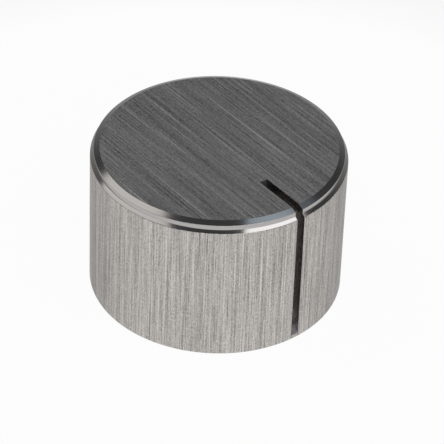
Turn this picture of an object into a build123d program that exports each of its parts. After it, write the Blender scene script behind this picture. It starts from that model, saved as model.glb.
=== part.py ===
"""Potentiometer knob: one turned metal body and the grub screw that clamps it on a shaft.

The frame: origin at the centre of the base, +Z up along the shaft, the pointer slot towards -Y
and the grub screw in the rear wall, towards +Y. All sizes are in millimetres.
"""
from build123d import *
from math import radians, sqrt, tan
import os

# Outside of the knob.
knob_diameter = 32.0
knob_height = 20.0
base_edge_break = 0.12

# The rim: an upper bevel, a narrow upright land, and a lower bevel that meets the side.
upper_bevel_width = 0.75
upper_bevel_drop = 0.33
land_height = 0.60
lower_bevel_width = 0.43
lower_bevel_drop = 0.34

# The pointer slot: across the top from its inner end to the rim, then down the side, where the
# round cutter that makes it runs out above the base.
slot_width = 1.1
slot_depth = 1.5
slot_inner_end_radius = 8.65
slot_end_above_base = 0.6
cutter_radius = 5.0

# The recess under the knob, which clears the fixing nut, and the bore for the shaft.
recess_diameter = 20.0
recess_depth = 5.0
recess_edge_break = 0.3
shaft_diameter = 6.0
shaft_clearance = 0.025
bore_depth = 11.0
bore_edge_break = 0.3
drill_point_angle = 118.0

# The grub screw and its tapped hole.
screw_diameter = 3.0
screw_length = 10.0
screw_end_chamfer = 0.35
screw_height_above_recess = 4.0
screw_gap_to_bore = 0.15
thread_clearance = 0.02
hole_mouth_chamfer = 0.3
socket_across_flats = 1.5
socket_depth = 1.6
cup_diameter = 1.4
cup_depth = 0.5

# Sizes that follow from the ones above.
knob_radius = knob_diameter / 2
land_radius = knob_radius - lower_bevel_width
top_radius = land_radius - upper_bevel_width
land_top = knob_height - upper_bevel_drop
land_bottom = land_top - land_height
side_top = land_bottom - lower_bevel_drop
cutter_rise = sqrt(slot_depth * (2 * cutter_radius - slot_depth))
cutter_height = slot_end_above_base + cutter_rise
slot_floor = slot_depth - knob_radius
recess_radius = recess_diameter / 2
bore_radius = shaft_diameter / 2 + shaft_clearance
bore_end = recess_depth + bore_depth
drill_point_height = bore_radius / tan(radians(drill_point_angle / 2))
screw_height = recess_depth + screw_height_above_recess
screw_radius = screw_diameter / 2
hole_radius = screw_radius + thread_clearance
screw_tip = bore_radius + screw_gap_to_bore
screw_head = screw_tip + screw_length

os.makedirs("parts", exist_ok=True)

# The body is turned: half of its section, in the XZ plane, goes round the shaft's axis.
with BuildPart() as knob_body:
    with BuildSketch(Plane.XZ):
        with BuildLine():
            Polyline(
                (0, bore_end + drill_point_height),
                (bore_radius, bore_end),
                (bore_radius, recess_depth + bore_edge_break),
                (bore_radius + bore_edge_break, recess_depth),
                (recess_radius, recess_depth),
                (recess_radius, recess_edge_break),
                (recess_radius + recess_edge_break, 0),
                (knob_radius - base_edge_break, 0),
                (knob_radius, base_edge_break),
                (knob_radius, side_top),
                (land_radius, land_bottom),
                (land_radius, land_top),
                (top_radius, knob_height),
                (0, knob_height),
                close=True,
            )
        make_face()
    revolve(axis=Axis.Z)

    # The slot's cut across the top face.
    slot_run = knob_radius - slot_inner_end_radius
    with BuildSketch(Plane.XY.offset(knob_height)):
        with Locations((0, -slot_inner_end_radius)):
            Rectangle(slot_width, slot_run, align=(Align.CENTER, Align.MAX))
    extrude(amount=-slot_depth, mode=Mode.SUBTRACT)

    # The slot's cut down the side, to the same depth, with the cutter at the end of its run.
    with BuildSketch(Plane.YZ):
        with Locations((slot_floor, cutter_height)):
            Rectangle(slot_depth, knob_height - cutter_height, align=(Align.MAX, Align.MIN))
        with Locations((slot_floor - cutter_radius, cutter_height)):
            Circle(cutter_radius)
    extrude(amount=slot_width / 2, both=True, mode=Mode.SUBTRACT)

    # The tapped hole runs from the rear of the side into the bore.
    with Locations(Plane(origin=(0, knob_radius, screw_height), x_dir=(1, 0, 0), z_dir=(0, 1, 0))):
        CounterSinkHole(
            radius=hole_radius,
            counter_sink_radius=hole_radius + hole_mouth_chamfer,
            depth=knob_radius,
            counter_sink_angle=90,
        )
knob_body.part.label = "knob_body"

# The screw is turned about Y, with its cup point towards the bore.
with BuildPart() as grub_screw:
    with BuildSketch(Plane.XY.offset(screw_height)):
        with BuildLine():
            Polyline(
                (0, screw_tip + cup_depth),
                (cup_diameter / 2, screw_tip),
                (screw_radius - screw_end_chamfer, screw_tip),
                (screw_radius, screw_tip + screw_end_chamfer),
                (screw_radius, screw_head - screw_end_chamfer),
                (screw_radius - screw_end_chamfer, screw_head),
                (0, screw_head),
                close=True,
            )
        make_face()
    revolve(axis=Axis((0, 0, screw_height), (0, 1, 0)))

    # The hexagon socket for the key.
    with BuildSketch(Plane(origin=(0, screw_head, screw_height), x_dir=(1, 0, 0), z_dir=(0, 1, 0))):
        RegularPolygon(radius=socket_across_flats / 2, side_count=6, major_radius=False)
    extrude(amount=-socket_depth, mode=Mode.SUBTRACT)
grub_screw.part.label = "grub_screw"

export_step(knob_body.part, "parts/knob_body.step")
export_step(grub_screw.part, "parts/grub_screw.step")
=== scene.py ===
"""Looks of a turned metal potentiometer knob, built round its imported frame.

All lengths are in metres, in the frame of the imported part: +Z runs up the shaft, the pointer
slot points towards -Y and the grub screw sits in the rear wall, towards +Y.
"""

import logging
from dataclasses import dataclass, field
from enum import Enum
from math import asin, atan2, cos, pi, radians, sin, sqrt, tan

import bmesh
import bpy
from bpy.types import ID, Material, Node, NodeSocket, NodeTree, Object
from mathutils import Matrix, Vector


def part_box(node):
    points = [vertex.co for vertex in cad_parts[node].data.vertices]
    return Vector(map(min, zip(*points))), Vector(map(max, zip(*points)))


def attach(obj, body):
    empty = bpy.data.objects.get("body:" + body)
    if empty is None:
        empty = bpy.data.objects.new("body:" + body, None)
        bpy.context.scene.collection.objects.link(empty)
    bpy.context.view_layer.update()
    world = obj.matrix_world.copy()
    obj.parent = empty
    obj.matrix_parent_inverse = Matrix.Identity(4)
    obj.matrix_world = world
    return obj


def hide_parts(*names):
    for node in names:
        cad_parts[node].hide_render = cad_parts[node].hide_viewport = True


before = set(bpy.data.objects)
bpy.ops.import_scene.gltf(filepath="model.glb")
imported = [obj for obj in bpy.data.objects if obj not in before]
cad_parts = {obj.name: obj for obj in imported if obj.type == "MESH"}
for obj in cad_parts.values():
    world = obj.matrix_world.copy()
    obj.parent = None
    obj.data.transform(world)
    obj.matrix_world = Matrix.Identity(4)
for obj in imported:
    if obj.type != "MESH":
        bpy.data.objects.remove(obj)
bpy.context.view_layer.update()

MM = 0.001
HEXAGON = 6
LOG = logging.getLogger("potentiometer_knob")

Point = tuple[float, float, float]
Colour = tuple[float, float, float]


class BrushLay(Enum):
    """The way in which a brushed face was rubbed."""

    UP_THE_SIDE = "parallel to the shaft"
    ALONG_THE_POINTER = "parallel to the pointer slot"


class Skin(Enum):
    """The finish of each face of the turned body, by the number of its material slot."""

    BRUSHED_SIDE = 0
    BRUSHED_TOP = 1
    POLISHED_RIM = 2
    TURNED_UNDERSIDE = 3
    MILLED_SLOT = 4
    SLOT_EDGES = 5


# ----- Mesh helpers -----


@dataclass
class MeshDraft:
    """Vertices and faces of a mesh while it is laid out."""

    vertices: list[Point] = field(default_factory=list)
    faces: list[list[int]] = field(default_factory=list)
    skins: list[int] = field(default_factory=list)

    def point(self, x: float, y: float, z: float) -> int:
        """Adds a vertex and returns its index."""
        self.vertices.append((x, y, z))
        return len(self.vertices) - 1

    def face(self, corners: list[int], skin: int = 0) -> None:
        """Adds a face with these vertices, in order, in the material slot skin."""
        self.faces.append(list(corners))
        self.skins.append(skin)

    def bridge(
        self, first: list[int], second: list[int], skin: int = 0, closed: bool = False
    ) -> None:
        """Joins two rows of vertices of the same length with quads.

        Args:
            first: one row.
            second: the other row.
            skin: the index of the material slot of the quads.
            closed: whether the rows are rings, whose ends meet.
        """
        count = len(first)
        for i in range(count if closed else count - 1):
            j = (i + 1) % count
            self.face([first[i], second[i], second[j], first[j]], skin)

    def fan(self, rim: list[int], tip: int, skin: int = 0) -> None:
        """Closes the ring rim with triangles that meet at the vertex tip."""
        for first, second in zip(rim, [*rim[1:], rim[0]]):
            self.face([first, second, tip], skin)

    def finish(self, name: str) -> Object:
        """Makes the object, with its faces turned outwards.

        Args:
            name: the object's name.

        Returns:
            The new object, linked to the scene.
        """
        mesh = bpy.data.meshes.new(name)
        mesh.from_pydata(self.vertices, [], self.faces)
        for polygon, skin in zip(mesh.polygons, self.skins):
            polygon.material_index = skin
        sheet = bmesh.new()
        sheet.from_mesh(mesh)
        bmesh.ops.recalc_face_normals(sheet, faces=sheet.faces)
        sheet.to_mesh(mesh)
        sheet.free()
        return add_object(name, mesh)


def add_object(name: str, data: ID) -> Object:
    """Makes an object of a mesh, camera or lamp, links it to the scene and returns it."""
    made = bpy.data.objects.new(name, data)
    bpy.context.scene.collection.objects.link(made)
    return made


def settle(piece: Object) -> None:
    """Turns a piece's modifiers into its mesh, so that none is left on it.

    Args:
        piece: the mesh object.
    """
    graph = bpy.context.evaluated_depsgraph_get()
    mesh = bpy.data.meshes.new_from_object(
        piece.evaluated_get(graph), preserve_all_data_layers=True, depsgraph=graph
    )
    old = piece.data
    piece.modifiers.clear()
    piece.data = mesh
    mesh.name = piece.name
    bpy.data.meshes.remove(old)


def weld(piece: Object, reach: float = 0.0008 * MM) -> None:
    """Joins the points that a cut leaves on top of each other, and drops the faces between them.

    Args:
        piece: the mesh object.
        reach: how near two points have to be.
    """
    sheet = bmesh.new()
    sheet.from_mesh(piece.data)
    bmesh.ops.remove_doubles(sheet, verts=sheet.verts, dist=reach)
    bmesh.ops.dissolve_degenerate(sheet, edges=sheet.edges, dist=reach)
    sheet.to_mesh(piece.data)
    sheet.free()


def cut(piece: Object, tool: Object, operation: str = "DIFFERENCE") -> None:
    """Cuts a piece with a closed tool, then throws the tool away.

    Args:
        piece: the piece that is cut.
        tool: the shape that cuts it.
        operation: the boolean operation, such as DIFFERENCE or INTERSECT.
    """
    modifier = piece.modifiers.new("cut", "BOOLEAN")
    modifier.operation = operation
    modifier.solver = "EXACT"
    modifier.object = tool
    settle(piece)
    weld(piece)
    mesh = tool.data
    bpy.data.objects.remove(tool)
    bpy.data.meshes.remove(mesh)


def smooth(piece: Object, crease: float = radians(28)) -> None:
    """Shades a piece smoothly, with flat faces kept flat beside their rounded edges.

    Args:
        piece: the mesh object.
        crease: the angle above which an edge stays sharp.
    """
    piece.data.shade_smooth()
    piece.data.set_sharp_from_angle(angle=crease)
    modifier = piece.modifiers.new("flat faces", "WEIGHTED_NORMAL")
    modifier.keep_sharp = True
    # The modifier has no effect on faces as small as these in metres, so it gets millimetres.
    piece.data.transform(Matrix.Scale(1.0 / MM, 4))
    settle(piece)
    piece.data.transform(Matrix.Scale(MM, 4))


# ----- Shader helpers and the effects that several finishes share -----

# The sockets of the shared effects that carry a vector. The others carry a number.
VECTOR_SOCKETS = ("Place", "Sideways", "Normal")


@dataclass
class ShaderSheet:
    """A node tree that is being wired, with short calls for its usual nodes."""

    tree: NodeTree

    def node(self, kind: str, *values: object, **settings: object) -> Node:
        """Adds a node.

        Args:
            kind: the node's type.
            values: sockets or plain values for its first inputs, in order.
            settings: values for its properties.

        Returns:
            The node.
        """
        made = self.tree.nodes.new(kind)
        for name, value in settings.items():
            setattr(made, name, value)
        for socket, value in zip(made.inputs, values):
            self.feed(socket, value)
        return made

    def feed(self, socket: NodeSocket, value: object) -> None:
        """Links a socket to another, or sets its value.

        Args:
            socket: the input.
            value: an output socket, or a plain value.
        """
        if isinstance(value, NodeSocket):
            self.tree.links.new(value, socket)
        else:
            socket.default_value = value

    def fill(self, node: Node, **values: object) -> Node:
        """Feeds a node's inputs by name, with _ for a space, and returns the node."""
        for name, value in values.items():
            self.feed(node.inputs[name.replace("_", " ")], value)
        return node

    def math(self, operation: str, a: object, b: object = 0.0, third: object = 0.0) -> NodeSocket:
        """Adds a Math node for up to three numbers or sockets and returns its output."""
        return self.node("ShaderNodeMath", a, b, third, operation=operation).outputs[0]

    def vector(self, operation: str, *values: object) -> NodeSocket:
        """Adds a Vector Math node for some vectors or sockets and returns its vector output."""
        made = self.node("ShaderNodeVectorMath", *values, operation=operation)
        return made.outputs["Vector"]

    def scaled(self, vector: object, factor: object) -> NodeSocket:
        """Returns a vector times a number or socket."""
        made = self.node("ShaderNodeVectorMath", vector, operation="SCALE")
        return self.fill(made, Scale=factor).outputs["Vector"]

    def split(self, vector: object) -> tuple[NodeSocket, ...]:
        """Returns a vector's X, Y and Z."""
        return tuple(self.node("ShaderNodeSeparateXYZ", vector).outputs)

    def join(self, x: object, y: object, z: object = 0.0) -> NodeSocket:
        """Returns the vector of three numbers or sockets."""
        return self.node("ShaderNodeCombineXYZ", x, y, z).outputs[0]

    def noise(
        self, place: object, scale: float = 1.0, detail: float = 2.0, rough: float = 0.5
    ) -> NodeSocket:
        """Adds a Noise Texture.

        Args:
            place: the coordinate socket.
            scale: its scale.
            detail: how many finer layers it has.
            rough: how strong the finer layers are.

        Returns:
            The noise, from 0 to 1 around a half.
        """
        made = self.node("ShaderNodeTexNoise")
        self.fill(made, Vector=place, Scale=scale, Detail=detail, Roughness=rough)
        return made.outputs["Fac"]

    def spread(
        self, value: object, low: float, high: float, to_low: float = 0.0, to_high: float = 1.0
    ) -> NodeSocket:
        """Maps one range of values to another and stops at its ends.

        Args:
            value: the socket.
            low, high: the range that comes in.
            to_low, to_high: the range that goes out.

        Returns:
            The mapped value.
        """
        made = self.node("ShaderNodeMapRange", clamp=True)
        self.fill(made, Value=value, From_Min=low, From_Max=high, To_Min=to_low, To_Max=to_high)
        return made.outputs["Result"]

    def tint(self, share: object, first: object, second: object) -> NodeSocket:
        """Mixes two colours.

        Args:
            share: how much of the second colour there is.
            first: the first colour or socket.
            second: the second colour or socket.

        Returns:
            The mixed colour.
        """
        made = self.node("ShaderNodeMix", share, data_type="RGBA")
        for socket, colour in ((made.inputs[6], first), (made.inputs[7], second)):
            self.feed(socket, (*colour, 1.0) if isinstance(colour, tuple) else colour)
        return made.outputs[2]

    def relief(self, height: object, depth: float, normal: object = None) -> NodeSocket:
        """Adds a Bump node.

        Args:
            height: the height, from 0 to 1.
            depth: the relief's depth, in metres.
            normal: the normal that it starts from, or None.

        Returns:
            The new normal.
        """
        made = self.fill(self.node("ShaderNodeBump"), Strength=1.0, Distance=depth, Height=height)
        if normal is not None:
            self.feed(made.inputs["Normal"], normal)
        return made.outputs["Normal"]

    def effect(self, group: NodeTree, **values: object) -> Node:
        """Places a shared effect, with these inputs, and returns its node."""
        return self.fill(self.node("ShaderNodeGroup", node_tree=group), **values)

    def millimetres(self) -> NodeSocket:
        """Returns the place on the piece, in millimetres."""
        return self.scaled(self.node("ShaderNodeTexCoord").outputs["Object"], 1.0 / MM)

    def normal(self) -> NodeSocket:
        """Returns the surface's normal."""
        return self.node("ShaderNodeNewGeometry").outputs["Normal"]


def open_sheet(owner: ID) -> ShaderSheet:
    """Returns the emptied node tree of a material or a world."""
    owner.use_nodes = True
    owner.node_tree.nodes.clear()
    return ShaderSheet(owner.node_tree)


def open_group(
    name: str, inputs: tuple[str, ...], outputs: tuple[str, ...]
) -> tuple[ShaderSheet, Node, Node]:
    """Starts a shader node group with named sockets.

    Args:
        name: the group's name.
        inputs: the names of its inputs.
        outputs: the names of its outputs.

    Returns:
        The sheet, the group's input node and its output node.
    """
    tree = bpy.data.node_groups.new(name, "ShaderNodeTree")
    for side, sockets in (("INPUT", inputs), ("OUTPUT", outputs)):
        for socket in sockets:
            kind = "NodeSocketVector" if socket in VECTOR_SOCKETS else "NodeSocketFloat"
            tree.interface.new_socket(socket, in_out=side, socket_type=kind)
    sheet = ShaderSheet(tree)
    return sheet, sheet.node("NodeGroupInput"), sheet.node("NodeGroupOutput")


@dataclass(frozen=True)
class LineLayer:
    """One layer of lines, by how many times finer and shorter than the main lines it is.

    The shift moves it over the face, so that no two layers agree.
    """

    finer: float
    shorter: float
    shift: float


class SharedEffects:
    """The node groups that more than one finish uses, each built once."""

    LINE_LAYERS = {
        "broad": LineLayer(0.09, 0.35, 3.1),
        "bands": LineLayer(0.38, 0.8, 61.9),
        "lines": LineLayer(1.0, 1.0, 17.7),
        "short": LineLayer(1.15, 12.0, 41.3),
        "grain": LineLayer(1.25, 42.0, 77.9),
        "scratches": LineLayer(1.5, 0.75, 121.7),
        "nicks": LineLayer(0.9, 1.3, 203.9),
        "lean": LineLayer(1.6, 3.0, 151.1),
    }
    MAIN_WEIGHT = 0.63
    WEIGHTS = {"short": 0.16, "bands": 0.15, "broad": 0.06}

    # The ranges of the noises that are spread from 0 to 1.
    TONE_RANGE = (0.36, 0.63)
    SCRATCH_RANGE = (0.65, 0.74)
    BREAK_RANGE = (0.36, 0.60)
    NICK_RANGE = (0.67, 0.77)
    RING_RANGE = (0.32, 0.68)
    CLOUD_RANGE = (0.30, 0.70)
    SPECK_RANGE = (0.74, 0.80)

    FAINTEST_SCRATCH = 0.4
    RING_DRIFT = 0.02
    SPECKS_PER_MM = 5.5

    def __init__(self) -> None:
        """Builds the groups."""
        self.brushed_lines = self._brushed_lines()
        self.lathe_lines = self._lathe_lines()
        self.handling = self._handling()

    def _layer(self, sheet: ShaderSheet, place: NodeSocket, name: str) -> NodeSocket:
        """Adds one layer of lines to a group.

        Args:
            sheet: the group's sheet.
            place: the place, with X across the lines and Y along them, in lines.
            name: the layer's name in LINE_LAYERS.

        Returns:
            The layer, from 0 to 1 around a half.
        """
        layer = self.LINE_LAYERS[name]
        shift = (layer.shift, layer.shift, layer.shift)
        spot = sheet.vector("MULTIPLY_ADD", place, (layer.finer, layer.shorter, 0.0), shift)
        return sheet.noise(spot, detail=1.0, rough=0.6)

    def _brushed_lines(self) -> NodeTree:
        """Returns fine straight lines, as a rubbing belt leaves them.

        Inputs: Place, in millimetres, with X across the lines and Y along them; Lines, how
        many there are in a millimetre; Length, that of a line in millimetres; Grain, the share
        of short marks among the lines; Sideways, the direction across the lines; Tilt, how far
        the finest lines lean the surface; Scratching, how much farther the scratches spread.
        Outputs: Tone and Height from 0 to 1, Scratches and Nicks as masks, and the leaning
        Normal.
        """
        sheet, given, result = open_group(
            "brushed_lines",
            ("Place", "Lines", "Length", "Grain", "Sideways", "Tilt", "Scratching"),
            ("Tone", "Height", "Scratches", "Nicks", "Normal"),
        )
        across, along, _ = sheet.split(given.outputs["Place"])
        across = sheet.math("MULTIPLY", across, given.outputs["Lines"])
        along = sheet.math("DIVIDE", along, given.outputs["Length"])
        spot = sheet.join(across, along)
        layer = {name: self._layer(sheet, spot, name) for name in self.LINE_LAYERS}

        lines, grain = layer["lines"], layer["grain"]
        fine = sheet.math("MULTIPLY", sheet.math("SUBTRACT", grain, lines), given.outputs["Grain"])
        tone = sheet.math("MULTIPLY", sheet.math("ADD", lines, fine), self.MAIN_WEIGHT)
        for name, weight in self.WEIGHTS.items():
            tone = sheet.math("MULTIPLY_ADD", layer[name], weight, third=tone)
        scratches = sheet.math("ADD", layer["scratches"], given.outputs["Scratching"])
        scratches = sheet.spread(scratches, *self.SCRATCH_RANGE)
        broken = sheet.spread(grain, *self.BREAK_RANGE, to_low=self.FAINTEST_SCRATCH)

        lean = sheet.math("SUBTRACT", layer["lean"], 0.5)
        lean = sheet.math("MULTIPLY", lean, given.outputs["Tilt"])
        leaning = sheet.scaled(given.outputs["Sideways"], lean)
        sheet.fill(
            result,
            Tone=sheet.spread(tone, *self.TONE_RANGE),
            Height=tone,
            Scratches=sheet.math("MULTIPLY", scratches, broken),
            Nicks=sheet.spread(layer["nicks"], *self.NICK_RANGE),
            Normal=sheet.vector("NORMALIZE", sheet.vector("ADD", sheet.normal(), leaning)),
        )
        return sheet.tree

    def _lathe_lines(self) -> NodeTree:
        """Returns fine rings round the shaft, as a turning tool leaves them.

        Inputs: Rings, how many there are in a millimetre. Outputs: Tone from 0 to 1 and Height.
        """
        sheet, given, result = open_group("lathe_lines", ("Rings",), ("Tone", "Height"))
        x, y, z = sheet.split(sheet.millimetres())
        squares = sheet.math("ADD", sheet.math("MULTIPLY", x, x), sheet.math("MULTIPLY", y, y))
        across = sheet.math("MULTIPLY", sheet.math("SQRT", squares), given.outputs["Rings"])
        along = sheet.math("MULTIPLY", z, given.outputs["Rings"])
        ringed = sheet.join(across, along, sheet.math("MULTIPLY", x, self.RING_DRIFT))
        rings = sheet.noise(ringed, detail=3.0, rough=0.65)
        sheet.fill(result, Tone=sheet.spread(rings, *self.RING_RANGE), Height=rings)
        return sheet.tree

    def _handling(self) -> NodeTree:
        """Returns the soft unevenness of a handled surface.

        Inputs: Size, the size of a patch in millimetres.
        Outputs: Cloud from 0 to 1, and Specks, a mask of tiny nicks and dust.
        """
        sheet, given, result = open_group("handling", ("Size",), ("Cloud", "Specks"))
        place = sheet.millimetres()
        patches = sheet.scaled(place, sheet.math("DIVIDE", 1.0, given.outputs["Size"]))
        cloud = sheet.noise(patches, detail=3.0)
        specks = sheet.noise(place, scale=self.SPECKS_PER_MM, detail=1.0)
        cloud = sheet.spread(cloud, *self.CLOUD_RANGE)
        specks = sheet.spread(specks, *self.SPECK_RANGE)
        sheet.fill(result, Cloud=cloud, Specks=specks)
        return sheet.tree


def open_metal(name: str, edge_tint: Colour) -> tuple[Material, ShaderSheet, Node]:
    """Starts a metal on a Principled BSDF.

    Args:
        name: the material's name.
        edge_tint: the tint of its grazing reflections.

    Returns:
        The material, its sheet and the Principled BSDF.
    """
    material = bpy.data.materials.new(name)
    sheet = open_sheet(material)
    shader = sheet.node("ShaderNodeBsdfPrincipled")
    sheet.fill(shader, Metallic=1.0, Specular_Tint=(*edge_tint, 1.0))
    sheet.node("ShaderNodeOutputMaterial", shader.outputs["BSDF"])
    return material, sheet, shader


@dataclass(frozen=True)
class BrushedMetal:
    """Bare metal rubbed in straight lines.

    Its shades and its roughness run from the darkest line to the brightest one.
    """

    name: str
    lay: BrushLay
    dark: Colour
    light: Colour
    scratch: Colour
    speck: Colour
    edge_tint: Colour
    lines_per_mm: float
    line_length: float
    grain: float
    scratching: float
    roughness: tuple[float, float]
    tilt: float = 0.5
    relief: float = 0.003 * MM
    radius_mm: float = 16.0
    patch_mm: float = 9.0
    patch_roughness: float = 0.02

    def material(self, effects: SharedEffects) -> Material:
        """Builds the material.

        Args:
            effects: the shared node groups.

        Returns:
            The material.
        """
        material, sheet, shader = open_metal(self.name, self.edge_tint)
        place, sideways = self._lay_out(sheet)
        lines = sheet.effect(
            effects.brushed_lines,
            Place=place,
            Lines=self.lines_per_mm,
            Length=self.line_length,
            Grain=self.grain,
            Sideways=sideways,
            Tilt=self.tilt,
            Scratching=self.scratching,
        )
        wear = sheet.effect(effects.handling, Size=self.patch_mm)
        metal = sheet.tint(lines.outputs["Tone"], self.dark, self.light)
        metal = sheet.tint(lines.outputs["Scratches"], metal, self.scratch)
        metal = sheet.tint(lines.outputs["Nicks"], metal, self.speck)
        metal = sheet.tint(wear.outputs["Specks"], metal, self.speck)
        gloss = sheet.spread(lines.outputs["Tone"], 0.0, 1.0, *self.roughness)
        swing = self.patch_roughness
        cloudy = sheet.spread(wear.outputs["Cloud"], 0.0, 1.0, -swing, swing)
        gloss = sheet.math("ADD", gloss, cloudy)
        normal = sheet.relief(lines.outputs["Height"], self.relief, lines.outputs["Normal"])
        sheet.fill(shader, Base_Color=metal, Roughness=gloss, Normal=normal)
        return material

    def _lay_out(self, sheet: ShaderSheet) -> tuple[NodeSocket, object]:
        """Reads the place on the face, across and along its lines.

        Args:
            sheet: the material's sheet.

        Returns:
            The place in millimetres, and the direction across the lines.
        """
        spot = sheet.millimetres()
        if self.lay is BrushLay.ALONG_THE_POINTER:
            return spot, (1.0, 0.0, 0.0)
        x, y, z = sheet.split(spot)
        round_side = sheet.math("MULTIPLY", sheet.math("ARCTAN2", x, y), self.radius_mm)
        sideways = sheet.vector("CROSS_PRODUCT", sheet.normal(), (0.0, 0.0, 1.0))
        return sheet.join(round_side, z), sideways


@dataclass(frozen=True)
class MachinedMetal:
    """Metal as a tool left it, with soft patches and specks of wear.

    Its shade and relief follow the fine rings of a lathe, or the patches where it has no rings.
    Its roughness runs from where the patches are thin to where they are thick.
    """

    name: str
    dark: Colour
    light: Colour
    speck: Colour
    patch_mm: float
    roughness: tuple[float, float]
    relief: float
    edge_tint: Colour = (1.0, 1.0, 1.0)
    rings_per_mm: float = 0.0

    def material(self, effects: SharedEffects) -> Material:
        """Builds the material.

        Args:
            effects: the shared node groups.

        Returns:
            The material.
        """
        material, sheet, shader = open_metal(self.name, self.edge_tint)
        wear = sheet.effect(effects.handling, Size=self.patch_mm)
        cloud = wear.outputs["Cloud"]
        tone, height = cloud, cloud
        if self.rings_per_mm > 0.0:
            rings = sheet.effect(effects.lathe_lines, Rings=self.rings_per_mm)
            tone, height = rings.outputs["Tone"], rings.outputs["Height"]
        metal = sheet.tint(tone, self.dark, self.light)
        metal = sheet.tint(wear.outputs["Specks"], metal, self.speck)
        gloss = sheet.spread(cloud, 0.0, 1.0, *self.roughness)
        normal = sheet.relief(height, self.relief)
        sheet.fill(shader, Base_Color=metal, Roughness=gloss, Normal=normal)
        return material


SIDE_FINISH = BrushedMetal(
    name="brushed_side",
    lay=BrushLay.UP_THE_SIDE,
    dark=(0.155, 0.146, 0.138),
    light=(0.695, 0.658, 0.627),
    scratch=(0.72, 0.69, 0.66),
    speck=(0.10, 0.095, 0.09),
    edge_tint=(0.56, 0.56, 0.56),
    lines_per_mm=9.5,
    line_length=13.0,
    grain=0.50,
    scratching=0.0,
    roughness=(0.34, 0.26),
)
TOP_FINISH = BrushedMetal(
    name="brushed_top",
    lay=BrushLay.ALONG_THE_POINTER,
    dark=(0.165, 0.165, 0.165),
    light=(0.70, 0.70, 0.70),
    scratch=(0.98, 0.98, 0.98),
    speck=(0.22, 0.22, 0.22),
    edge_tint=(0.8, 0.8, 0.8),
    lines_per_mm=6.0,
    line_length=15.0,
    grain=0.57,
    scratching=0.045,
    roughness=(0.35, 0.27),
)
RIM_FINISH = MachinedMetal(
    name="polished_rim",
    dark=(0.37, 0.362, 0.354),
    light=(0.48, 0.47, 0.46),
    speck=(0.37, 0.362, 0.354),
    patch_mm=5.0,
    roughness=(0.11, 0.16),
    relief=0.0006 * MM,
    edge_tint=(0.82, 0.82, 0.82),
    rings_per_mm=14.0,
)
UNDERSIDE_FINISH = MachinedMetal(
    name="turned_underside",
    dark=(0.34, 0.335, 0.33),
    light=(0.52, 0.515, 0.51),
    speck=(0.34, 0.335, 0.33),
    patch_mm=5.0,
    roughness=(0.24, 0.34),
    relief=0.006 * MM,
    edge_tint=(0.8, 0.8, 0.8),
    rings_per_mm=5.0,
)
# Painted shade: both slot metals are darker than the rim's. They stand in for the shade inside the
# narrow slot and dim the highlights on its lips and ends.
SLOT_FINISH = MachinedMetal(
    name="milled_slot",
    dark=(0.26, 0.248, 0.242),
    light=(0.40, 0.38, 0.37),
    speck=(0.26, 0.248, 0.242),
    patch_mm=0.35,
    roughness=(0.16, 0.26),
    relief=0.008 * MM,
)
SLOT_EDGE_FINISH = MachinedMetal(
    name="milled_slot_edges",
    dark=(0.20, 0.19, 0.205),
    light=(0.31, 0.295, 0.315),
    speck=(0.20, 0.19, 0.205),
    patch_mm=0.35,
    roughness=(0.50, 0.62),
    relief=0.008 * MM,
)
# In the order of Skin.
BODY_FINISHES = (
    SIDE_FINISH,
    TOP_FINISH,
    RIM_FINISH,
    UNDERSIDE_FINISH,
    SLOT_FINISH,
    SLOT_EDGE_FINISH,
)
SCREW_FINISH = MachinedMetal(
    name="black_oxide_steel",
    dark=(0.035, 0.035, 0.038),
    light=(0.10, 0.098, 0.10),
    speck=(0.10, 0.098, 0.10),
    patch_mm=0.5,
    roughness=(0.42, 0.28),
    relief=0.01 * MM,
)


# ----- The grub screw's thread, which the screw and its hole share -----


@dataclass(frozen=True)
class MetricThread:
    """A right-hand metric thread that runs along +Y at one height."""

    major_radius: float = 1.49 * MM
    pitch: float = 0.5 * MM
    depth: float = 0.285 * MM
    crest_share: float = 0.125
    root_share: float = 0.25
    sides: int = 48

    def rod(
        self, name: str, start: float, end: float, height: float, growth: float = 0.0
    ) -> Object:
        """Builds a threaded rod with rough ends, for use as a cutting or a turning blank.

        Args:
            name: the object's name.
            start: where it begins along Y.
            end: where it ends along Y.
            height: the height of its axis.
            growth: how much larger its radius is than the thread's own.

        Returns:
            The rod.
        """
        flank = (1.0 - self.crest_share - self.root_share) / 2
        outer = self.major_radius + growth
        inner = outer - self.depth
        # Where the edges of the crest and of the root lie in a turn, and their radii.
        turn_rows = [
            (0.0, outer),
            (self.crest_share, outer),
            (self.crest_share + flank, inner),
            (1.0 - flank, inner),
        ]
        first_turn = int(start / self.pitch)
        turns = int((end - start) / self.pitch) + 1
        draft = MeshDraft()
        rows = []
        for turn in range(turns + 1):
            for share, radius in turn_rows:
                row = []
                for side in range(self.sides):
                    part = side / self.sides
                    angle = 2 * pi * part
                    along = self.pitch * (first_turn + turn + share + part)
                    x, z = radius * sin(angle), height + radius * cos(angle)
                    row.append(draft.point(x, along, z))
                rows.append(row)
        step = len(turn_rows)
        for j in range(len(rows) - 1):
            for i in range(self.sides - 1):
                draft.face([rows[j][i], rows[j][i + 1], rows[j + 1][i + 1], rows[j + 1][i]])
            if j + 1 + step < len(rows):
                seam = [rows[j][-1], rows[j + step][0], rows[j + 1 + step][0], rows[j + 1][-1]]
                draft.face(seam)
        start_rim = [*rows[0], *(row[0] for row in reversed(rows[1 : step + 1]))]
        end_rim = [*rows[-1], *(row[-1] for row in reversed(rows[-step - 1 : -1]))]
        for rim in (start_rim, end_rim):
            middle = sum(draft.vertices[i][1] for i in rim) / len(rim)
            draft.fan(rim, draft.point(0.0, middle, height))
        return draft.finish(name)


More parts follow.
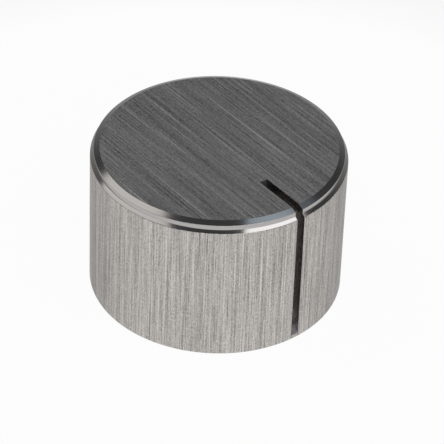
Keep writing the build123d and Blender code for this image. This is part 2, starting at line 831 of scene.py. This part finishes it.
def cross_blank(
    name: str, outline: list[tuple[float, float]], sides: int, height: float
) -> Object:
    """Builds a solid of revolution along Y, for the screw and for the tools that cut its seat.

    Args:
        name: the object's name.
        outline: its half section as radius and place along Y, from axis to axis.
        sides: how many flat sides it has.
        height: the height of its axis.

    Returns:
        The closed solid.
    """
    draft = MeshDraft()
    rings = []
    for radius, along in outline:
        if radius == 0.0:
            rings.append([draft.point(0.0, along, height)])
            continue
        turns = [2 * pi * side / sides for side in range(sides)]
        rings.append([draft.point(radius * sin(a), along, height + radius * cos(a)) for a in turns])
    for first, second in zip(rings, rings[1:]):
        if len(first) == 1:
            draft.fan(second, first[0])
        elif len(second) == 1:
            draft.fan(first, second[0])
        else:
            draft.bridge(first, second, closed=True)
    return draft.finish(name)


# ----- The turned body -----


@dataclass(frozen=True)
class Corner:
    """A corner of the body's half section, and the finish of the face that follows it."""

    radius: float
    height: float
    rounding: float
    skin: Skin


@dataclass(frozen=True)
class Station:
    """A point of the rounded half section, with the direction that faces outwards."""

    radius: float
    height: float
    out: float
    up: float
    skin: Skin


def rounded_section(corners: list[Corner], steps: int) -> list[Station]:
    """Rounds the corners of a half section.

    Args:
        corners: the corners, with the first and the last one on the axis.
        steps: how many straight pieces each rounding has.

    Returns:
        The points between the first and the last corner.
    """
    stations = []
    for before, corner, after in zip(corners, corners[1:], corners[2:]):
        here = Vector((corner.radius, corner.height))
        into = (here - Vector((before.radius, before.height))).normalized()
        away = (Vector((after.radius, after.height)) - here).normalized()
        turn = atan2(into.x * away.y - into.y * away.x, into.dot(away))
        normal = Vector((-into.y, into.x))
        if corner.rounding == 0.0:
            stations.append(Station(here.x, here.y, normal.x, normal.y, corner.skin))
            continue
        bulge = -corner.rounding if turn > 0 else corner.rounding
        centre = here - into * corner.rounding * tan(abs(turn) / 2) - normal * bulge
        for step in range(steps + 1):
            part = turn * step / steps
            across = normal.x * cos(part) - normal.y * sin(part)
            lean = Vector((across, normal.x * sin(part) + normal.y * cos(part)))
            place = centre + lean * bulge
            stations.append(Station(place.x, place.y, lean.x, lean.y, corner.skin))
    return stations


@dataclass
class KnobBody:
    """The turned body, with its rim, pointer slot, recess, bore and tapped hole."""

    radius: float
    height: float
    screw_height: float

    upper_bevel_width: float = 0.75 * MM
    upper_bevel_drop: float = 0.33 * MM
    land_height: float = 0.60 * MM
    lower_bevel_width: float = 0.43 * MM
    lower_bevel_drop: float = 0.34 * MM
    rim_rounding: float = 0.06 * MM
    side_rounding: float = 0.13 * MM
    base_rounding: float = 0.12 * MM

    slot_width: float = 1.1 * MM
    slot_depth: float = 1.5 * MM
    slot_inner_end: float = 8.65 * MM
    slot_lower_end: float = 0.6 * MM
    cutter_radius: float = 5.0 * MM
    runout_steps: int = 14
    runout_share: float = 0.97
    bright_runout_steps: int = 4
    slot_lip: float = 0.022 * MM
    slot_margin: float = 0.03 * MM

    recess_radius: float = 10.0 * MM
    recess_depth: float = 5.0 * MM
    recess_chamfer: float = 0.3 * MM
    recess_rounding: float = 0.2 * MM
    bore_radius: float = 3.025 * MM
    bore_depth: float = 11.0 * MM
    bore_chamfer: float = 0.3 * MM
    drill_point: float = 1.82 * MM

    thread: MetricThread = MetricThread()
    thread_gap: float = 0.028 * MM
    tap_start_share: float = 1 / 3
    tap_past_side: float = 1.0 * MM
    hole_mouth_chamfer: float = 0.3 * MM

    sides: int = 300
    slot_columns: int = 4
    rounding_steps: int = 3

    def build(self, effects: SharedEffects) -> Object:
        """Builds and dresses the body.

        Args:
            effects: the shared node groups.

        Returns:
            The finished piece.
        """
        piece = self._shell()
        for finish in BODY_FINISHES:
            piece.data.materials.append(finish.material(effects))
        self._cut_screw_hole(piece)
        smooth(piece)
        return piece

    def _section(self) -> list[Corner]:
        """Returns the half section, from the middle of the top to the end of the bore."""
        land_radius = self.radius - self.lower_bevel_width
        top_radius = land_radius - self.upper_bevel_width
        land_top = self.height - self.upper_bevel_drop
        land_bottom = land_top - self.land_height
        side_top = land_bottom - self.lower_bevel_drop
        bore_end = self.recess_depth + self.bore_depth
        edge, rim = self.rim_rounding, Skin.POLISHED_RIM
        side, under = Skin.BRUSHED_SIDE, Skin.TURNED_UNDERSIDE
        return [
            Corner(0.0, self.height, 0.0, Skin.BRUSHED_TOP),
            Corner(top_radius, self.height, edge, rim),
            Corner(land_radius, land_top, edge, rim),
            Corner(land_radius, land_bottom, 0.0, rim),
            Corner(self.radius, side_top, self.side_rounding, side),
            Corner(self.radius, self._slot_foot(), 0.0, side),
            Corner(self.radius, 0.0, self.base_rounding, under),
            Corner(self.recess_radius + self.recess_chamfer, 0.0, edge, under),
            Corner(self.recess_radius, self.recess_chamfer, edge, under),
            Corner(self.recess_radius, self.recess_depth, self.recess_rounding, under),
            Corner(self.bore_radius + self.bore_chamfer, self.recess_depth, edge, under),
            Corner(self.bore_radius, self.recess_depth + self.bore_chamfer, edge, under),
            Corner(self.bore_radius, bore_end, 0.0, under),
            Corner(0.0, bore_end + self.drill_point, 0.0, under),
        ]

    def _slot_foot(self) -> float:
        """Returns the height where the slot's lower lip meets the side."""
        return self.slot_lower_end - self.slot_lip

    def _shell(self) -> Object:
        """Returns the turned shell with the pointer slot in it, closed and not yet drilled."""
        draft = MeshDraft()
        section = self._section()
        stations = rounded_section(section, self.rounding_steps)
        slot_row = next(i for i, s in enumerate(stations) if s.height <= self._slot_foot())
        mouth = self.slot_width / 2 + self.slot_lip
        margin = self.slot_margin / self.radius
        # Each row has one column more than it has sides, and another one beside each lip. From
        # slot_row on, the columns under the slot follow.
        lip_columns = self.sides + 3
        rows = []
        for index, station in enumerate(stations):
            gap = asin(mouth / (station.radius if index <= slot_row else self.radius))
            open_part = 2 * (pi - gap)
            turns = [gap + open_part * k / self.sides for k in range(self.sides + 1)]
            turns = [turns[0], turns[0] + margin, *turns[1:-1], turns[-1] - margin, turns[-1]]
            if index >= slot_row:
                shares = [2 * m / self.slot_columns - 1 for m in range(1, self.slot_columns)]
                turns += [gap * share for share in shares]
            ring = [(station.radius * sin(a), -station.radius * cos(a)) for a in turns]
            rows.append([draft.point(x, y, station.height) for x, y in ring])
        for index, station in enumerate(stations[:-1]):
            below, width = rows[index + 1], len(rows[index])
            draft.bridge(rows[index], below[:width], station.skin.value, closed=index >= slot_row)
        tip = draft.point(0.0, 0.0, section[-1].height)
        draft.fan(rows[-1], tip, Skin.TURNED_UNDERSIDE.value)
        foot = [*rows[slot_row][lip_columns - 1 :], rows[slot_row][0]]
        lips = [row[:lip_columns] for row in rows]
        self._slot(draft, stations[:slot_row], lips, foot)
        return draft.finish("knob_body_finish")

    def _slot(
        self, draft: MeshDraft, path: list[Station], rows: list[list[int]], foot: list[int]
    ) -> None:
        """Lays out the pointer slot and closes the top face round it.

        Args:
            draft: the mesh that is laid out.
            path: the stations that the slot passes, from the top face down.
            rows: the rows of vertices round the body, which end at the slot's two lips.
            foot: the row of vertices under the slot's lower end, from left to right.
        """
        passed = rows[: len(path) + 1]
        right = [[row[0] for row in passed]]
        left = [[row[-1] for row in passed]]
        mouth = self.slot_width / 2 + self.slot_lip
        inner_y = self.slot_lip - self.slot_inner_end
        inner = [draft.point(side * mouth, inner_y, self.height) for side in (-1, 1)]
        left[0].insert(0, inner[0])
        right[0].insert(0, inner[1])
        across = [foot]
        draft.face([*rows[0], *inner], Skin.BRUSHED_TOP.value)

        for step in range(1, self.rounding_steps + 1):
            quarter = pi / 2 * step / self.rounding_steps
            flare = self.slot_lip * (1 - sin(quarter))
            sink = self.slot_lip * (1 - cos(quarter))
            half = self.slot_width / 2 + flare
            lips = []
            for side in (-1, 1):
                lip = [draft.point(side * half, flare - self.slot_inner_end, self.height - sink)]
                for station in path:
                    reach = station.radius - station.out * sink
                    depth = station.height - station.up * sink
                    lip.append(draft.point(side * half, -sqrt(reach**2 - half**2), depth))
                lips.append(lip)
            reach = self.radius - sink
            places = [half * (2 * m / self.slot_columns - 1) for m in range(self.slot_columns + 1)]
            depth = self.slot_lower_end - flare
            sill = [draft.point(x, -sqrt(reach**2 - x**2), depth) for x in places]
            left.append([*lips[0], sill[0]])
            right.append([*lips[1], sill[-1]])
            across.append(sill)
        for rows_of_lip in (left, right, across):
            for first, second in zip(rows_of_lip, rows_of_lip[1:]):
                draft.bridge(first, second, Skin.SLOT_EDGES.value)
        for step in range(self.rounding_steps):
            corners = [left[step][0], right[step][0], right[step + 1][0], left[step + 1][0]]
            draft.face(corners, Skin.SLOT_EDGES.value)

        half = self.slot_width / 2
        milled, edges = Skin.MILLED_SLOT.value, Skin.SLOT_EDGES.value
        floor_height = self.height - self.slot_depth
        floor_reach = self.radius - self.slot_depth
        floor = []
        for side in (-1, 1):
            line = [
                draft.point(side * half, -self.slot_inner_end, floor_height),
                draft.point(side * half, -floor_reach, floor_height),
            ]
            line += [draft.point(side * half, -reach, height) for reach, height in self._runout()]
            floor.append(line)
        bright = len(floor[0]) - self.bright_runout_steps
        draft.bridge(floor[0][:bright], floor[1][:bright], milled)
        draft.bridge(floor[0][bright - 1 :], floor[1][bright - 1 :], edges)
        draft.face([*left[-1], *reversed(floor[0])], milled)
        draft.face([*right[-1], *reversed(floor[1])], milled)
        draft.face([left[-1][0], right[-1][0], floor[1][0], floor[0][0]], edges)
        draft.face([*across[-1], floor[1][-1], floor[0][-1]], edges)

    def _runout(self) -> list[tuple[float, float]]:
        """Returns the reach and height of the points of the slot's round run-out, downwards."""
        axis_reach = self.radius - self.slot_depth + self.cutter_radius
        rise = sqrt(self.slot_depth * (2 * self.cutter_radius - self.slot_depth))
        last_turn = asin(rise / self.cutter_radius) * self.runout_share
        places = []
        for step in range(self.runout_steps + 1):
            turn = last_turn * step / self.runout_steps
            reach = axis_reach - self.cutter_radius * cos(turn)
            places.append((reach, self.slot_lower_end + rise - self.cutter_radius * sin(turn)))
        return places

    def _cut_screw_hole(self, piece: Object) -> None:
        """Taps the hole for the grub screw through the rear wall.

        Args:
            piece: the body.
        """
        start, end = self.bore_radius * self.tap_start_share, self.radius + self.tap_past_side
        tap = self.thread.rod("tap", start, end, self.screw_height, self.thread_gap)
        hole = self.thread.major_radius + self.thread_gap
        chamfer = self.hole_mouth_chamfer
        apex, end = self.radius - hole - chamfer, self.radius + chamfer
        outline = [(0.0, apex), (end - apex, end), (0.0, end)]
        mouth = cross_blank("mouth", outline, self.thread.sides, self.screw_height)
        for tool in (tap, mouth):
            for polygon in tool.data.polygons:
                polygon.material_index = Skin.TURNED_UNDERSIDE.value
            for material in piece.data.materials:
                tool.data.materials.append(material)
            cut(piece, tool)


@dataclass
class GrubScrew:
    """The hex socket grub screw with a cup point, set with its point towards -Y."""

    tip: float
    head: float
    height: float
    radius: float
    end_chamfer: float = 0.35 * MM
    cup_radius: float = 0.7 * MM
    cup_depth: float = 0.5 * MM
    socket_across_flats: float = 1.5 * MM
    socket_depth: float = 1.6 * MM
    socket_point: float = 0.3 * MM
    mouth_chamfer: float = 0.12 * MM
    spare_length: float = 2.0 * MM
    thread: MetricThread = MetricThread()

    def build(self, effects: SharedEffects) -> Object:
        """Builds and dresses the screw.

        Args:
            effects: the shared node groups.

        Returns:
            The finished piece.
        """
        start, end = self.tip - self.spare_length, self.head + self.spare_length
        piece = self.thread.rod("grub_screw_finish", start, end, self.height)
        cut(piece, self._blank(), "INTERSECT")
        cut(piece, self._socket())
        cut(piece, self._socket_mouth())
        piece.data.materials.clear()
        piece.data.materials.append(SCREW_FINISH.material(effects))
        smooth(piece)
        return piece

    def _blank(self) -> Object:
        """Returns the turned shape that the thread is cut on."""
        slope, end = self.end_chamfer, self.radius - self.end_chamfer
        outline = [
            (0.0, self.tip + self.cup_depth),
            (self.cup_radius, self.tip),
            (end, self.tip),
            (self.radius, self.tip + slope),
            (self.radius, self.head - slope),
            (end, self.head),
            (0.0, self.head),
        ]
        return cross_blank("blank", outline, self.thread.sides, self.height)

    def _socket(self) -> Object:
        """Returns the tool that cuts the hexagon for the key."""
        corner = self.socket_across_flats / sqrt(3)
        floor, end = self.head - self.socket_depth, self.head + self.spare_length
        outline = [(0.0, floor - self.socket_point), (corner, floor), (corner, end), (0.0, end)]
        return cross_blank("socket", outline, HEXAGON, self.height)

    def _socket_mouth(self) -> Object:
        """Returns the cone that eases the hexagon's mouth."""
        flat, past = self.socket_across_flats / 2, 2 * self.mouth_chamfer
        end = self.head + past
        outline = [(0.0, self.head - flat), (flat + past, end), (0.0, end)]
        return cross_blank("socket_mouth", outline, self.thread.sides, self.height)


# ----- The studio -----


@dataclass(frozen=True)
class Viewpoint:
    """Where the camera stands, by its bearing round the knob and its angles in degrees."""

    bearing: float = -39.52
    elevation: float = 37.96
    roll: float = 2.19
    distance: float = 363.1 * MM
    lens_mm: float = 234.4
    aim_beside: float = 0.603 * MM
    aim_below: float = 1.462 * MM
    clip: tuple[float, float] = (0.01, 10.0)

    def axes(self) -> tuple[Vector, Vector, Vector]:
        """Returns the camera's right, up and backward directions."""
        turn, tilt, roll = radians(self.bearing), radians(self.elevation), radians(self.roll)
        back = Vector((sin(turn) * cos(tilt), -cos(turn) * cos(tilt), sin(tilt)))
        level = Vector((cos(turn), sin(turn), 0.0))
        plumb = back.cross(level)
        right = level * cos(roll) + plumb * sin(roll)
        return right, back.cross(right), back

    def place(self, centre: Vector) -> None:
        """Makes the scene's camera.

        Args:
            centre: the middle of the object.
        """
        right, up, back = self.axes()
        aim = centre + right * self.aim_beside - up * self.aim_below
        data = bpy.data.cameras.new("camera")
        data.lens = self.lens_mm
        data.clip_start, data.clip_end = self.clip
        camera = add_object("camera", data)
        turn = Matrix((right, up, back)).transposed()
        camera.matrix_world = Matrix.Translation(aim + back * self.distance) @ turn.to_4x4()
        bpy.context.scene.camera = camera


@dataclass(frozen=True)
class Panel:
    """A soft light panel that hangs level over the bench.

    Its edges are to the left and right of the knob, and nearer and farther than it, as
    seen from the viewpoint, and as shares of the panel's height over the bench.
    """

    name: str
    left: float
    right: float
    near: float
    far: float
    brightness: float
    colour: Colour
    height: float = 1.6

    def hang(self, bearing: float) -> None:
        """Makes the lamp, facing down.

        Args:
            bearing: the bearing of the viewpoint, in degrees.
        """
        turn = radians(bearing)
        level = Vector((cos(turn), sin(turn), 0.0))
        away = Vector((-sin(turn), cos(turn), 0.0))
        data = bpy.data.lights.new(self.name, "AREA")
        data.shape = "RECTANGLE"
        data.size = (self.right - self.left) * self.height
        data.size_y = (self.far - self.near) * self.height
        data.energy = self.brightness * pi * data.size * data.size_y
        data.color = self.colour
        lamp = add_object(self.name, data)
        upright = Vector((0.0, 0.0, 1.0))
        middle = level * (self.left + self.right) / 2 + away * (self.near + self.far) / 2 + upright
        turned = Matrix((level, away, upright)).transposed().to_4x4()
        lamp.matrix_world = Matrix.Translation(middle * self.height) @ turned


WARM_WHITE = (1.0, 0.965, 0.93)
WHITE = (1.0, 1.0, 1.0)
SKY_WHITE = (0.73, 0.865, 1.0)


@dataclass
class Studio:
    """The pale bench, the dim room, the light panels and the camera."""

    viewpoint: Viewpoint = Viewpoint()
    bench_radius: float = 3.0
    bench_sides: int = 96
    bench_colour: Colour = (0.90, 0.90, 0.90)
    bench_glow: float = 0.95
    # Painted pool of light on the bench: its glow is white within the first reach from the knob, in
    # metres, and fades to far_colour by the second.
    painted_pool_reach: tuple[float, float] = (0.06, 0.17)
    far_colour: Colour = (0.50, 0.50, 0.50)
    horizon_colour: Colour = (0.52, 0.52, 0.52)
    ceiling_colour: Colour = (0.075, 0.075, 0.078)
    ceiling_start: float = 0.56
    ceiling_fall: float = 1.5
    panels: tuple[Panel, ...] = (
        Panel("left_near_panel", -2.00, -0.515, -0.60, 0.05, 1.00, WARM_WHITE),
        Panel("left_far_panel", -2.00, -0.315, 0.05, 0.88, 1.02, WARM_WHITE),
        Panel("right_panel", 0.303, 1.02, -0.60, 0.04, 1.95, WHITE),
        Panel("right_far_panel", 1.02, 1.60, -0.60, 0.00, 0.80, WARM_WHITE),
        Panel("right_strip", 0.18, 0.70, 0.04, 0.30, 0.67, SKY_WHITE),
        Panel("right_haze", 0.20, 0.80, 0.30, 0.50, 0.16, SKY_WHITE),
        Panel("rear_panel", -0.65, 0.65, 0.90, 2.10, 0.19, WHITE),
        Panel("front_panel", -0.6, 1.2, -2.3, -0.95, 2.9, WHITE),
    )

    def build(self, centre: Vector) -> None:
        """Sets the whole studio up.

        Args:
            centre: the middle of the object.
        """
        self.viewpoint.place(centre)
        for panel in self.panels:
            panel.hang(self.viewpoint.bearing)
        self._room()
        self._bench()
        bpy.context.scene.view_settings.view_transform = "Standard"

    def _bench(self) -> None:
        """Makes the pale bench top, which keeps the knob's shadow and glows in a painted pool of
        light round the knob.
        """
        draft = MeshDraft()
        turns = [2 * pi * side / self.bench_sides for side in range(self.bench_sides)]
        rim = [(self.bench_radius * cos(a), self.bench_radius * sin(a)) for a in turns]
        draft.face([draft.point(x, y, 0.0) for x, y in rim])
        bench = draft.finish("bench_top")
        material = bpy.data.materials.new("bench_paper")
        sheet = open_sheet(material)
        paper = sheet.node("ShaderNodeBsdfDiffuse", (*self.bench_colour, 1.0))
        # The glow paints a pool of light round the knob, seen by the camera and in the metal's
        # reflections.
        place = sheet.node("ShaderNodeTexCoord").outputs["Object"]
        reach = sheet.node("ShaderNodeVectorMath", place, operation="LENGTH")
        distance = sheet.spread(reach.outputs["Value"], *self.painted_pool_reach)
        glow = sheet.node("ShaderNodeEmission", sheet.tint(distance, WHITE, self.far_colour))
        path = sheet.node("ShaderNodeLightPath")
        looks = sheet.math("MAXIMUM", path.outputs["Is Camera Ray"], path.outputs["Is Glossy Ray"])
        looks = sheet.math("MAXIMUM", looks, path.outputs["Is Transmission Ray"])
        share = sheet.math("MULTIPLY", looks, self.bench_glow)
        blend = sheet.node("ShaderNodeMixShader", share, paper.outputs[0], glow.outputs[0])
        sheet.node("ShaderNodeOutputMaterial", blend.outputs[0])
        bench.data.materials.append(material)

    def _room(self) -> None:
        """Makes the room: pale at the horizon, and dim overhead."""
        world = bpy.data.worlds.new("room")
        sheet = open_sheet(world)
        _, _, upwards = sheet.split(sheet.node("ShaderNodeTexCoord").outputs["Generated"])
        share = sheet.spread(upwards, 0.0, self.ceiling_start, 1.0, 0.0)
        share = sheet.math("POWER", share, self.ceiling_fall)
        shade = sheet.tint(share, self.ceiling_colour, self.horizon_colour)
        background = sheet.node("ShaderNodeBackground", shade)
        sheet.node("ShaderNodeOutputWorld", background.outputs[0])
        bpy.context.scene.world = world


def main() -> None:
    """Builds the studio and both pieces, and reports each one."""
    logging.basicConfig(level=logging.INFO, format="%(name)s: %(message)s")
    low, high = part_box("knob_body")
    screw_low, screw_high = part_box("grub_screw")
    Studio().build((low + high) / 2)
    effects = SharedEffects()
    screw_height = (screw_low.z + screw_high.z) / 2
    body = KnobBody(min(high.x, high.y, -low.x, -low.y), high.z, screw_height)
    screw_radius = (screw_high.x - screw_low.x) / 2
    screw = GrubScrew(screw_low.y, screw_high.y, screw_height, screw_radius)
    pieces = (
        (body, "knob_body", "brushed_aluminium"),
        (screw, "grub_screw", "blackened_steel"),
    )
    for maker, node, slot in pieces:
        piece = maker.build(effects)
        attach(piece, "root")
        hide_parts(node)
        LOG.info("%s: %d faces", piece.name, len(piece.data.polygons))


if __name__ == "__main__":
    main()
